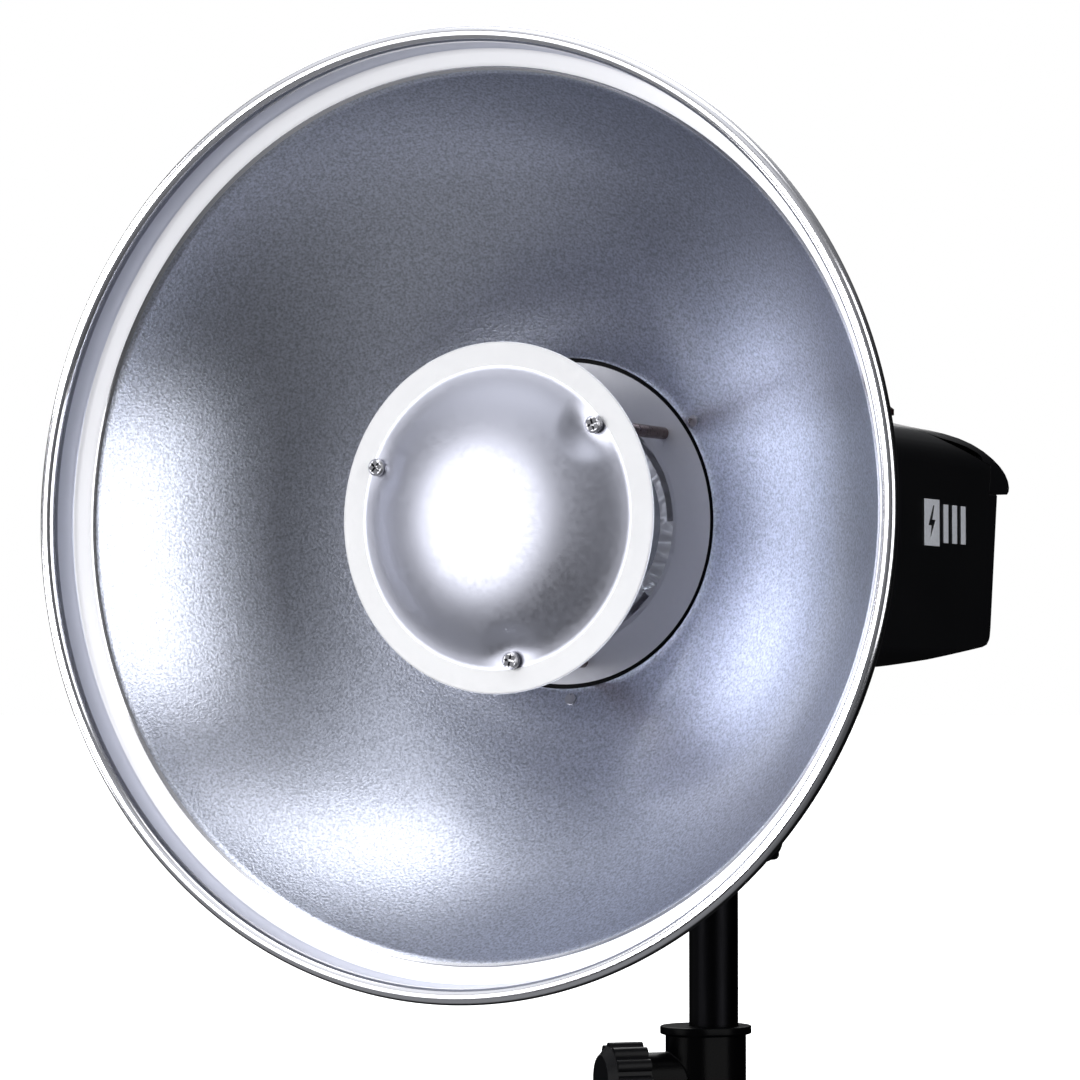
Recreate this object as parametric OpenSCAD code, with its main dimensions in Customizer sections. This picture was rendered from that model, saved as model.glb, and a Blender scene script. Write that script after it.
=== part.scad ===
// Studio flash head with a beauty dish, on the top section of its light stand.
// Units are millimetres. +Z is up, the dish faces -Y, and the stand's axis is the Z axis.
// The origin is the mouth of the collar's lower socket, where the rest of the stand goes in.
// Depths (names ending _d) are measured rearwards, along +Y, from the widest ring of the dish's rim.
// Heights named _h are measured upwards from the optical axis of the dish and lamp.

/* [Stand collar] */
// Height of the whole collar
collar_h = 75; // [60:1:95]
// Radius of the socket for the lower stand tube
socket_r = 14.0; // [12:0.1:15]
// Depth of the socket for the lower stand tube
socket_len = 25; // [20:1:40]
// Outer radius of the collar
collar_r = 15.8; // [15:0.1:20]
// How far the collar's knob side is stretched
collar_off = 8.2; // [4:0.1:12]
// Radius of the collar's top flange
flange_r = 18.4; // [17:0.1:24]
// Direction the lock knob points, in degrees from +X
knob_dir = 225; // [180:5:270]
// Height of the lock knob's axis
knob_z = 50; // [40:1:60]
// Radius of the lock knob
knob_r = 18; // [12:0.5:22]

/* [Riser and bracket] */
// Outer radius of the riser tube
riser_r = 12.0; // [10:0.5:14]
// Height of the riser tube's top end
riser_top = 142; // [130:1:144]
// Radius of the standard stud
spigot_r = 8.0; // [7.9:0.05:8.1]
// Height of the bottom face of the bracket's socket
sock_bot = 146; // [145:1:150]
// Radius of the bracket's socket
sock_r = 15.5; // [14:0.5:20]
// Height of the tilt pivot
pivot_z = 219; // [205:1:235]

/* [Dish] */
// Height of the optical axis above the origin
axis_z = 314; // [300:1:330]
// Y of the widest ring of the rim
rim_y = -267; // [-300:1:-230]
// Largest radius of the rim bead
rim_r = 210; // [200:1:220]
// Thickness of the spun sheet
sheet_t = 1.2; // [0.8:0.1:2]
// Half of the angle the bowl's section turns through
bow = 20; // [8:1:30]
// Depth of the deflector's flat edge
defl_d = 44.5; // [30:0.5:60]
// Radius of the deflector
defl_r = 77.5; // [60:0.5:90]
// Height of the deflector's dome
defl_rise = 12; // [2:0.5:15]
// Angle of the first spacer rod
rod_a = 38.3; // [0:0.1:120]
// Radius of the circle the spacer rods stand on
rod_c = 63.5; // [55:0.5:70]

/* [Lamp head] */
// Half of the case's width
case_w = 60; // [50:1:70]
// Height of the case's top above the optical axis
case_top = 62; // [55:0.5:70]
// Height of the case's underside, below the optical axis
case_bot = -64.5; // [-75:0.5:-55]
// Corner radius along the case's top edges
top_r = 22; // [10:1:30]
// Corner radius along the case's bottom edges
bot_r = 10; // [6:1:20]
// Depth of the joint between front frame and case
case_d = 150; // [145:1:160]
// Wall thickness of the case
wall = 3; // [2:0.5:4]
// Lean of the rear panel in degrees
lean = 8.3; // [0:0.1:12]

/* [Hidden] */
$fn = 96;
// Radial gap of the turning and sliding fits.
running_gap = 0.05;
// Screw pattern of the foot (half spacings), and clearance radius of its holes.
foot_x = 19;
foot_y = 40;
foot_hole = 2.6;

// Depth to Y.
function dy(d) = rim_y + d;
// A cylinder along +Y, starting at y = 0.
module ycyl(r, l, n = 96) { rotate([-90, 0, 0]) cylinder(h = l, r = r, $fn = n); }
// A cylinder along +X, starting at x = 0.
module xcyl(r, l, n = 96) { rotate([0, 90, 0]) cylinder(h = l, r = r, $fn = n); }
// A cylinder along +Y between two radii.
module ycone(ra, rb, l) { rotate([-90, 0, 0]) cylinder(h = l, r1 = ra, r2 = rb); }
// Turns a (radius, depth) section about the optical axis.
module lathe(pts, ang = 360) {
    translate([0, rim_y, axis_z]) rotate([-90, 0, 0]) rotate_extrude(angle = ang, $fn = 180) polygon(pts);
}
// Moves children to depth d on the optical axis.
module at_d(d, x = 0, h = 0) { translate([x, dy(d), axis_z + h]) children(); }
// Repeats children around the optical axis at the three rod angles.
module three(a0, r) {
    for (k = [0:2]) translate([0, 0, axis_z]) rotate([0, -(a0 + 120 * k), 0]) translate([r, 0, 0]) children();
}
// Repeats children at the four foot screws, at height z.
module foot_spots(z) { for (x = [-foot_x, foot_x], y = [-foot_y, foot_y]) translate([x, y, z]) children(); }
// The collar's knob direction becomes +X.
module to_knob() { rotate([0, 0, knob_dir]) children(); }
// A thin arc as a list of points.
function arc(cx, cy, r, a0, a1, n) =
    [for (i = [0:n]) let (a = a0 + (a1 - a0) * i / n) [cx + r * cos(a), cy + r * sin(a)]];

// ---------- Stand collar ----------
knob_gap = 37;
boss_r = 12.6;
module collar_plan(r, z0, z1) {
    to_knob() translate([0, 0, z0]) linear_extrude(height = z1 - z0) hull() {
        circle(r = r, $fn = 64);
        translate([collar_off, 0]) circle(r = r, $fn = 64);
    }
}
module collar_body() {
    color([0.05, 0.05, 0.055]) difference() {
        union() {
            collar_plan(collar_r, 0, collar_h - 4);
            collar_plan(flange_r, collar_h - 4, collar_h);
            to_knob() translate([8, 0, knob_z]) xcyl(boss_r, knob_gap - 0.4 - 8);
        }
        translate([0, 0, -1]) cylinder(h = socket_len + 1, r = socket_r);
        translate([0, 0, -1]) cylinder(h = collar_h + 2, r = riser_r + running_gap);
        to_knob() translate([0, 0, knob_z]) xcyl(6, 19);
        to_knob() translate([0, 0, knob_z]) xcyl(4.4, knob_gap + 2);
    }
}
module brake_pad() {
    color([0.78, 0.62, 0.32]) difference() {
        to_knob() translate([riser_r - 2, 0, knob_z]) xcyl(5.95, 6.5);
        translate([0, 0, knob_z - 10]) cylinder(h = 20, r = riser_r + running_gap);
    }
}
module lock_knob() {
    color([0.07, 0.07, 0.075]) to_knob() translate([knob_gap, 0, knob_z]) difference() {
        union() {
            xcyl(knob_r - 2.0, 21);
            for (k = [0:11]) rotate([k * 30, 0, 0]) translate([0, 0, knob_r - 3.4]) xcyl(3.4, 17, 32);
            translate([17, 0, 0]) rotate([0, 90, 0]) cylinder(h = 4, r1 = knob_r - 2.0, r2 = knob_r - 6);
        }
        translate([-1, 0, 0]) xcyl(4, 15);
        translate([17, 0, 0]) difference() {
            rotate([0, 90, 0]) cylinder(h = 5, r1 = knob_r + 4, r2 = knob_r + 4);
            translate([-0.5, 0, 0]) rotate([0, 90, 0]) cylinder(h = 6, r1 = knob_r - 1.5, r2 = knob_r - 7.5);
        }
    }
}
module lock_stud() {
    color([0.62, 0.63, 0.65]) to_knob() translate([16.8, 0, knob_z]) xcyl(4, knob_gap + 14 - 16.8);
}

// ---------- Riser ----------
module riser_tube() {
    color([0.06, 0.06, 0.065]) difference() {
        translate([0, 0, socket_len]) cylinder(h = riser_top - socket_len, r = riser_r);
        translate([0, 0, socket_len - 1]) cylinder(h = riser_top - socket_len + 2, r = riser_r - 1.5);
    }
}
module riser_plug() {
    color([0.09, 0.09, 0.095]) difference() {
        union() {
            translate([0, 0, riser_top - 26]) cylinder(h = 26, r = riser_r - 1.5);
            translate([0, 0, riser_top]) cylinder(h = 1.5, r = riser_r);
        }
        translate([0, 0, riser_top - 27]) cylinder(h = 30, r = spigot_r);
    }
}
module spigot() {
    color([0.72, 0.73, 0.75]) rotate_extrude() polygon([[0, riser_top - 26], [spigot_r, riser_top - 26],
        [spigot_r, 157], [spigot_r - 1.6, 158.6], [spigot_r - 1.6, 170.4], [spigot_r, 172],
        [spigot_r, 177], [spigot_r - 1, 178], [0, 178]]);
}

// ---------- Bracket ----------
sock_knob_z = 164.5;
// Half the width of the tilt tongue.
tongue = 14;
module stand_socket() {
    color([0.07, 0.07, 0.075]) difference() {
        union() {
            translate([0, 0, sock_bot]) cylinder(h = 56, r = sock_r);
            translate([0, 0, sock_bot]) cylinder(h = 4, r = sock_r + 1);
            translate([-tongue, -sock_r + 0.6, 196]) cube([2 * tongue, 2 * sock_r - 1.2, pivot_z - 196]);
            translate([-tongue, 0, pivot_z]) xcyl(16, 2 * tongue);
            translate([0, 0, sock_knob_z]) ycyl(8.5, 22);
        }
        translate([0, 0, sock_bot - 1]) cylinder(h = 35, r = spigot_r + running_gap);
        translate([0, 0, sock_knob_z]) ycyl(4.1, 30);
        translate([-20, 0, pivot_z]) xcyl(pivot_r + running_gap, 40);
    }
}
washer_t = 1.7;
module tilt_washers() {
    color([0.55, 0.12, 0.1]) for (x = [tongue, -tongue - washer_t]) difference() {
        translate([x, 0, pivot_z]) xcyl(15, washer_t);
        translate([-20, 0, pivot_z]) xcyl(pivot_r + 0.4, 40);
    }
}
clamp_r = 14.5;
clamp_y = 36;
module socket_knob() {
    color([0.07, 0.07, 0.075]) translate([0, 0, sock_knob_z]) difference() {
        union() {
            translate([0, 22.5, 0]) ycyl(8, clamp_y - 22);
            translate([0, clamp_y, 0]) ycyl(clamp_r - 1.6, 18);
            translate([0, clamp_y + 18, 0]) ycone(clamp_r - 1.6, clamp_r - 4.5, 3);
            for (k = [0:7]) rotate([0, k * 45, 0]) translate([0, clamp_y, clamp_r - 2.8]) ycyl(2.8, 17, 32);
        }
        translate([0, 22, 0]) ycyl(4, 20);
    }
}
module socket_stud() {
    color([0.62, 0.63, 0.65]) translate([0, 6.9, sock_knob_z]) union() {
        ycyl(3, 3.2);
        translate([0, 3, 0]) ycyl(4, 32);
    }
}
foot_top = axis_z + case_bot;
foot_bot = foot_top - 13.5;
umb_z = foot_top - 6.75;
umb_y = 24;
umb_r = 4.2;
foot_w = 52;
foot_l = 96;
ear_in = 16;
ear_t = 7;
pivot_r = 5;
module foot_bracket() {
    color([0.07, 0.07, 0.075]) difference() {
        union() {
            translate([-foot_w / 2, -foot_l / 2, foot_bot]) cube([foot_w, foot_l, foot_top - foot_bot]);
            for (x = [-ear_in - ear_t, ear_in]) translate([x, 0, 0]) {
                translate([0, -14, pivot_z]) cube([ear_t, 28, foot_bot - pivot_z + 1]);
                translate([0, 0, pivot_z]) xcyl(14, ear_t);
            }
        }
        translate([0, -foot_l / 2 - 2, umb_z]) ycyl(umb_r, foot_l + 4);
        translate([0, umb_y, umb_z]) xcyl(2.6, 40);
        translate([-30, 0, pivot_z]) xcyl(pivot_r, 60);
        foot_spots(foot_bot - 1) {
            cylinder(h = 30, r = foot_hole);
            // counterbore for the screw's head
            cylinder(h = 5.05, r = 5);
        }
    }
}
module pivot_bolt() {
    color([0.62, 0.63, 0.65]) translate([0, 0, pivot_z]) union() {
        translate([-30, 0, 0]) xcyl(8, 7, 6);
        translate([-24, 0, 0]) xcyl(pivot_r, 56);
    }
}
module tilt_lever() {
    color([0.08, 0.08, 0.085]) translate([23.4, 0, pivot_z]) difference() {
        union() {
            xcyl(9.5, 13);
            rotate([-38, 0, 0]) {
                translate([5, 0, -4]) cube([6, 40, 8]);
                translate([8, 34, 0]) ycyl(5.6, 16);
                translate([8, 50, 0]) ycone(5.6, 3.6, 3);
            }
        }
        translate([-1, 0, 0]) xcyl(pivot_r + running_gap, 11);
    }
}
module umbrella_screw() {
    color([0.08, 0.08, 0.085]) translate([0, umb_y, umb_z]) difference() {
        union() {
            translate([4.35, 0, 0]) xcyl(2.5, 25);
            translate([26.5, 0, 0]) xcyl(3.8, 4);
            translate([30, 0, 0]) xcyl(5.2, 10);
            for (k = [0:5]) rotate([k * 60 + 10, 0, 0]) translate([30.3, 0, 4.8]) xcyl(1.3, 9.4, 24);
        }
        translate([38, 0, 0]) xcyl(3, 4);
    }
}

// ---------- Lamp head: section and profiles ----------
// The case's cross-section (X, height), inset by t.
module section(t = 0) {
    w = case_w - t;
    zt = case_top - t;
    zb = case_bot + t;
    rt = top_r - t;
    rb = bot_r - t;
    union() {
        translate([-w + rt, zb + rb]) square([2 * (w - rt), zt - zb - rb]);
        translate([-w, zb + rb]) square([2 * w, zt - zb - rb - rt]);
        translate([-w + rb, zb]) square([2 * (w - rb), rb + 1]);
        for (s = [-1, 1]) {
            translate([s * (w - rt), zt - rt]) circle(r = rt, $fn = 96);
            translate([s * (w - rb), zb + rb]) circle(r = rb, $fn = 64);
        }
    }
}
// The section drawn along the optical axis between two depths.
module prism(d0, d1, t = 0) {
    translate([0, dy(d1), axis_z]) rotate([90, 0, 0]) linear_extrude(height = d1 - d0) section(t);
}
// A side profile (depth, height) drawn across the width.
module slab(pts, w) {
    translate([-w, rim_y, axis_z]) rotate([90, 0, 90]) linear_extrude(height = 2 * w) polygon(pts);
}
// Depths of the slanted seam and of the rear face at a height.
function seam_d(h) = 478.9 + h * tan(lean);
function rear_d(h) = 490.8 + h * tan(lean);
top_line = [[345, 62], [375, 61.4], [408, 59.6], [416, 57.2], [432, 53.6], [450, 50.2], [466, 47.2], [478, 44.6]];
bot_line = [[455, -55.0], [400, -60.4], [346, -64.5]];
function over(l, t) = [for (p = l) [p[0], p[1] + t]];
module case_profile(t = 0, d0 = 150, far = 0) {
    slab(concat([[d0, -80]], [[d0, 80]], [[345, 80]], over(top_line, -t), [[seam_d(43.4) + far, 43.4 - t]],
        [[seam_d(-53.4) + far, -53.4 + t]], over(bot_line, t), [[346, -80]]), 70);
}
grip_w = 41;
grip_bot = 30;
module case_shell() {
    color([0.035, 0.035, 0.04]) difference() {
        intersection() {
            prism(case_d, 492);
            case_profile();
        }
        difference() {
            intersection() {
                prism(case_d - 1, 494, wall);
                case_profile(wall, case_d - 2, 4);
            }
            // the grip well's walls are kept
            at_d(421, -grip_w - wall, grip_bot - wall) cube([2 * (grip_w + wall), 80, 40]);
        }
        at_d(424, -grip_w, grip_bot) cube([2 * grip_w, 80, 40]);
        // cooling slots on both sides
        for (k = [0:9]) at_d(176 + k * 8.5, -70, -34) cube([140, 3.4, 52]);
        // cooling slots underneath
        for (k = [0:7]) at_d(352 + k * 11, -30, -70) cube([60, 4, 20]);
        translate([36, dy(394), axis_z + 50]) cylinder(h = 20, r = 4.95);
        // holes for the foot screws
        foot_spots(foot_top - 2) cylinder(h = 8, r = foot_hole);
    }
}
module case_screws() {
    color([0.2, 0.2, 0.21]) {
        foot_spots(foot_bot + 0.6) {
            cylinder(h = 18, r = 2.5);
            difference() {
                cylinder(h = 3.4, r = 4.6);
                translate([0, 0, -0.5]) cylinder(h = 2.5, r = 2.2, $fn = 6);
            }
        }
    }
}
module side_badge() {
    color([0.82, 0.83, 0.86]) {
        difference() {
            at_d(392, case_w, -2) cube([0.4, 20, 24]);
            translate([case_w - 1, dy(392), axis_z - 2]) rotate([90, 0, 90]) linear_extrude(height = 2)
                polygon([[11.5, 21], [5, 10.5], [9, 10.5], [7.5, 3], [15, 13.5], [10.8, 13.5], [13.5, 21]]);
        }
        for (k = [0:2]) at_d(418 + k * 12, case_w, 0) cube([0.4, 6, 20]);
    }
}

// ---------- Lamp head: front ----------
module front_frame() {
    color([0.045, 0.045, 0.05]) difference() {
        intersection() {
            prism(131, case_d);
            // front edge falls back towards the corners
            at_d(131) ycone(70, 100, 19.01);
        }
        at_d(130) ycyl(50.1, 4.1);
        prism(139, case_d + 1, wall);
        at_d(126) ycyl(45.5, 30);
        at_d(132, -7, 52) cube([14, 20, 20]);
        screw_spots() translate([0, 3, 0]) ycyl(2.0, 7);
    }
}
// The four screws that hold the front ring.
module screw_spots() {
    for (k = [0:3]) translate([0, dy(127.3), axis_z]) rotate([0, k * 90 + 45, 0]) translate([57.6, 0, 0]) children();
}
module front_ring() {
    color([0.5, 0.51, 0.53]) difference() {
        union() {
            lathe([[45.5, 116.5], [49, 116.5], [49, 124.2], [53.14, 124.2], [53.14, 127.3], [62, 127.3],
                [62, 131], [50, 131], [50, 134], [45.5, 134]]);
            for (k = [0:2]) translate([0, rim_y, axis_z]) rotate([-90, 0, 0]) rotate([0, 0, k * 120])
                rotate_extrude(angle = 40) polygon([[48, 116.5], [52.7, 116.5], [52.7, 119.9], [48, 119.9]]);
            translate([0, dy(124.8), axis_z]) rotate([0, -90, 0]) translate([56.6, 0, 0]) ycyl(1.4, 4);
        }
        screw_spots() { translate([0, -0.01, 0]) ycone(3.4, 1.99, 2.4); ycyl(2.0, 10); }
    }
}
module ring_screws() {
    color([0.6, 0.61, 0.63]) screw_spots() difference() {
        union() { ycone(3.3, 1.95, 2.3); translate([0, 1, 0]) ycyl(1.95, 6); }
        for (a = [0, 90]) translate([0, 0.3, 0]) rotate([0, a, 0]) cube([3.4, 1.6, 0.8], center = true);
    }
}
module reflector_pan() {
    color([0.86, 0.86, 0.88]) difference() {
        lathe([[11.55, 136], [45.4, 136], [45.4, 137.5], [11.55, 137.5]]);
        for (s = [-1, 1]) at_d(120, s * leg_x, leg_h) ycyl(tube_r + running_gap, 30);
    }
}
tube_d = 122;
tube_r = 3;
leg_x = 6.5;
leg_h = -33.4;
module flash_tube() {
    color([0.9, 0.93, 0.95]) {
        translate([0, dy(tube_d), axis_z]) rotate([-90, 0, 0]) rotate([0, 0, 101]) rotate_extrude(angle = 338)
            translate([34, 0]) circle(r = tube_r, $fn = 48);
        for (s = [-1, 1]) at_d(tube_d, s * leg_x, leg_h) ycyl(tube_r, 22);
    }
}
module lamp_socket() {
    color([0.92, 0.9, 0.85]) difference() {
        at_d(124) ycyl(11.5, 26);
        at_d(123) ycyl(6.2, 12);
    }
}
module model_lamp() {
    color([0.95, 0.93, 0.86]) union() {
        at_d(110) ycyl(6, 24.9);
        at_d(92) ycyl(7.5, 18.2);
        at_d(88) ycone(3.5, 7.5, 4.1);
    }
}
glass_r = 43;
function dome_line(r, rise) = [for (i = [0:12]) [r * cos(i * 7.5), 112 - rise * sin(i * 7.5)]];
function reverse(l) = [for (i = [len(l) - 1:-1:0]) l[i]];
module glass_dome() {
    color([0.85, 0.9, 0.92, 0.35]) lathe(concat([[glass_r, 135.95]], dome_line(glass_r, 30),
        reverse(dome_line(glass_r - 2.4, 27.6)), [[glass_r - 2.4, 135.95]]));
}
module latch_slide() {
    color([0.62, 0.06, 0.05]) union() {
        at_d(134, -6.8, 52.1) cube([13.6, 10, 9]);
        at_d(134.6, -5.5, 60) cube([11, 8, 4.4]);
        for (k = [0:2]) at_d(135.2 + k * 2.6, -5.5, 64) cube([11, 1.4, 1.6]);
    }
}

// ---------- Lamp head: inside ----------
cap_x = 28;
cap_h = -30;
cap_r = 24;
module capacitors() {
    color([0.1, 0.14, 0.3]) for (x = [-cap_x, cap_x]) union() {
        at_d(200, x, cap_h) ycyl(cap_r, 108);
        at_d(308, x, cap_h) ycyl(19, 3);
        // terminals
        for (s = [-8, 8]) at_d(311, x + s, cap_h) ycyl(3, 6);
    }
}
// Height of the fan's axis and radius of its opening.
fan_h = -4;
fan_r = 37.5;
module chassis() {
    color([0.62, 0.63, 0.65]) difference() {
        union() {
            prism(155.5, 157.5, wall + 0.1);
            at_d(157, -48, -61.45) cube([96, 187, 2]);
            for (d = [215, 288]) at_d(d, -53, -59.5) cube([106, 3, 24]);
            for (d = [205, 314]) at_d(d, 0, -60) cylinder(h = 68, r = 3);
        }
        for (x = [-cap_x, cap_x]) at_d(200, x, cap_h) ycyl(cap_r + running_gap, 108);
        at_d(150, 0, fan_h) ycyl(fan_r, 12);
        foot_spots(foot_top - 2) cylinder(h = 8, r = foot_hole);
    }
}
module main_board() {
    color([0.05, 0.28, 0.14]) union() {
        at_d(200, -50, 8) cube([100, 215, 1.6]);
        for (i = [0:3]) at_d(226 + i * 34, -34, 9.6) cube([16, 20, 12]);
        for (i = [0:3]) at_d(232 + i * 40, 12, 9.6) cylinder(h = 16, r = 8);
        at_d(388, 20, 9.6) cube([20, 16, 9]);
    }
}
module transformer() {
    color([0.35, 0.3, 0.22]) union() {
        at_d(324, -26, -57) cube([52, 16, 46]);
        at_d(320.5, -17, -50) cube([34, 23, 32]);
        at_d(322, -30, -59.4) cube([60, 20, 3.4]);
    }
}
module fan_frame() {
    color([0.06, 0.06, 0.065]) difference() {
        at_d(157.55, -40, -44) cube([80, 15.4, 80]);
        at_d(157, 0, fan_h) ycyl(fan_r, 12);
        // four arms are left across the back, round the motor
        at_d(157, 0, fan_h) difference() {
            ycyl(fan_r, 20);
            ycyl(11, 20);
            for (a = [0:3]) rotate([0, a * 90, 0]) translate([-2.5, 0, 0]) cube([5, 20, 40]);
        }
        for (x = [-35, 35], h = [-39, 31]) at_d(157, x, h) ycyl(2.2, 20);
    }
}
blades = 7;
module fan_rotor() {
    color([0.09, 0.09, 0.1]) at_d(158.6, 0, fan_h) union() {
        ycyl(14, 9.8);
        for (k = [0:blades - 1]) rotate([0, k * 360 / blades, 0]) translate([12, 4.9, 0]) rotate([32, 0, 0])
            translate([0, -0.9, -5]) cube([23.4, 1.8, 10]);
    }
}

// ---------- Lamp head: rear ----------
// Local frame of the leaning rear panel: +Y is its outward normal, z its slope.
module on_panel(x, s) { at_d(490.8, 0, 0) rotate([-lean, 0, 0]) translate([x, 0, s]) children(); }
panel_top = 28.2;
// Places on the panel: x across, s along the slope.
dial_x = 26;
dial_s = 9;
key_x = 13;
key_s = -13;
rocker_x = -33;
rocker_s = -30;
inlet_x = 29;
fuse_x = -8;
fuse_s = -33;
jack_x = 6;
jack_s = -34;
display_s = 12;
module rear_profile() {
    slab([[seam_d(panel_top), panel_top], [rear_d(panel_top), panel_top], [rear_d(-43), -43],
        [rear_d(-43) - 0.9, -46.6], [rear_d(-43) - 3.1, -49.8], [rear_d(-43) - 6.4, -52.2],
        [seam_d(-53.6), -53.6]], 70);
}
module rear_panel() {
    color([0.05, 0.05, 0.055]) difference() {
        intersection() {
            prism(455, 500);
            rear_profile();
        }
        // hollow behind the face
        intersection() {
            prism(455, 500, wall);
            slab([[400, panel_top - wall], [rear_d(panel_top) - 4, panel_top - wall], [rear_d(-44) - 4, -44],
                [rear_d(-44) - 7, -48], [400, -50]], 70);
        }
        // openings for the controls and sockets
        on_panel(-dial_x, dial_s) translate([0, -8, 0]) ycyl(4.2, 12);
        on_panel(dial_x, dial_s) translate([0, -8, 0]) ycyl(4.2, 12);
        for (k = [-1:1]) on_panel(k * key_x, key_s) translate([-4.3, -8, -3.1]) cube([8.6, 12, 6.2]);
        on_panel(rocker_x, rocker_s) translate([-7.7, -8, -10.7]) cube([15.4, 12, 21.4]);
        on_panel(inlet_x, rocker_s) translate([-14.2, -8, -10.7]) cube([28.4, 12, 21.4]);
        on_panel(fuse_x, fuse_s) translate([0, -8, 0]) ycyl(6.05, 12);
        on_panel(jack_x, jack_s) translate([0, -8, 0]) ycyl(3.6, 12);
        on_panel(0, display_s) translate([-15, -2, -8.5]) cube([30, 4, 17]);
    }
}
hand_out = [[408, 59.7], [426, 59.4], [444, 58.5], [459, 56.8], [471, 54.4], [482, 51], [492, 47],
    [500, 43.3], [506.5, 39.7], [510.6, 36.2], [512, 33], [511.4, 30.6], [509, 29]];
handle_seam = [[seam_d(29) + 0.15, 29], [seam_d(43.6) + 0.15, 43.6]];
module handle() {
    color([0.06, 0.06, 0.065]) difference() {
        intersection() {
            prism(405, 514);
            slab(concat([[405, 43.7], [405, 59.7]], hand_out, handle_seam), 70);
        }
        // the case below, and the slot between case and handle
        slab([[400, 20], [400, 60.2], [408, 59.65], [416, 57.25], [420, 56.6], [426, 55.8], [444, 54.3], [459, 52.4],
            [471, 49.8], [475, 48.0], [476.5, 45.1], handle_seam[1], handle_seam[0], [483, 20]], 71);
        // hollow for the fingers
        slab([[418, 56], [444, 54.3], [459, 52.4], [471, 50], [482, 46.8], [492, 42.8], [500, 39], [505, 35.6],
            [507.5, 32], [508, 20], [418, 20]], grip_w);
    }
}
module fascia() {
    color([0.16, 0.17, 0.19]) difference() {
        on_panel(-44, -18) cube([88, 0.5, 43.5]);
        on_panel(-dial_x, dial_s) translate([0, -1, 0]) ycyl(9.6, 4);
        on_panel(dial_x, dial_s) translate([0, -1, 0]) ycyl(9.6, 4);
        for (k = [-1:1]) on_panel(k * key_x, key_s) translate([-4.3, -1, -3.1]) cube([8.6, 3, 6.2]);
        on_panel(0, display_s) translate([-14, -1, -7.5]) cube([28, 3, 15]);
    }
}
module display() {
    color([0.1, 0.03, 0.03]) on_panel(0, display_s) translate([-13.9, -1.9, -7.4]) cube([27.8, 2.6, 14.8]);
}
module dial() {
    difference() {
        union() {
            translate([0, 0.9, 0]) ycyl(8.6, 9);
            translate([0, 9.9, 0]) ycone(8.6, 7.6, 1.2);
            translate([0, -7, 0]) ycyl(3.6, 8);
            for (k = [0:17]) rotate([0, k * 20, 0]) translate([0, 1.4, 8.5]) ycyl(0.7, 8.4, 16);
        }
        translate([-0.6, 10.2, 2]) cube([1.2, 2, 8]);
    }
}
module power_dial() { color([0.12, 0.12, 0.13]) on_panel(-dial_x, dial_s) dial(); }
module lamp_dial() { color([0.12, 0.12, 0.13]) on_panel(dial_x, dial_s) dial(); }
module key() {
    union() {
        translate([-3.9, -4.4, -2.7]) cube([7.8, 7.4, 5.4]);
        translate([-4.9, -5.6, -3.7]) cube([9.8, 1.4, 7.4]);
    }
}
module test_button() { color([0.75, 0.1, 0.08]) on_panel(-key_x, key_s) key(); }
module mode_button() { color([0.7, 0.71, 0.73]) on_panel(0, key_s) key(); }
module slave_button() { color([0.7, 0.71, 0.73]) on_panel(key_x, key_s) key(); }
rocker_back = 3;
module power_rocker() {
    color([0.5, 0.05, 0.04]) on_panel(rocker_x, rocker_s) union() {
        translate([-6.9, 0, 0]) rotate([90, 0, 90]) linear_extrude(height = 13.8)
            polygon([[-6, -7], [1.6, -9.6], [2.4, 0], [4.6, 9.2], [-6, 7]]);
        translate([-7.5, -rocker_back, 0]) xcyl(1.5, 15);
    }
}
module mains_inlet() {
    color([0.04, 0.04, 0.045]) on_panel(inlet_x, rocker_s) difference() {
        union() {
            translate([-14, -12, -10.5]) cube([28, 13, 21]);
            translate([-16.2, 0.02, -11.8]) cube([32.4, 2, 23.6]);
        }
        translate([-11.5, -9, -8]) cube([23, 16, 16]);
    }
}
module inlet_pins() {
    color([0.75, 0.74, 0.7]) on_panel(inlet_x, rocker_s) union() {
        for (x = [-7, 7]) translate([x - 1, -9, -4.5]) cube([2, 9, 4]);
        translate([-1, -9, 0.6]) cube([2, 9, 4]);
    }
}
module fuse_cap() {
    color([0.06, 0.06, 0.065]) on_panel(fuse_x, fuse_s) difference() {
        union() {
            translate([0, -7, 0]) ycyl(6, 8);
            translate([0, 0.6, 0]) ycyl(7.4, 4.4);
        }
        translate([-5, 3.4, -0.8]) cube([10, 3, 1.6]);
    }
}
module sync_jack() {
    color([0.6, 0.61, 0.63]) on_panel(jack_x, jack_s) difference() {
        union() {
            translate([0, -10, 0]) ycyl(3.6, 10);
            ycyl(5.2, 1.8, 6);
        }
        translate([0, -8, 0]) ycyl(1.8, 12);
    }
}
module slave_sensor() {
    color([0.06, 0.03, 0.03]) translate([36, dy(394), axis_z]) union() {
        translate([0, 0, 57]) cylinder(h = 9, r = 4.9);
        translate([0, 0, 65.5]) cylinder(h = 3, r = 6.2);
        translate([0, 0, 68.5]) cylinder(h = 1.6, r1 = 6.2, r2 = 4.2);
    }
}

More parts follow.
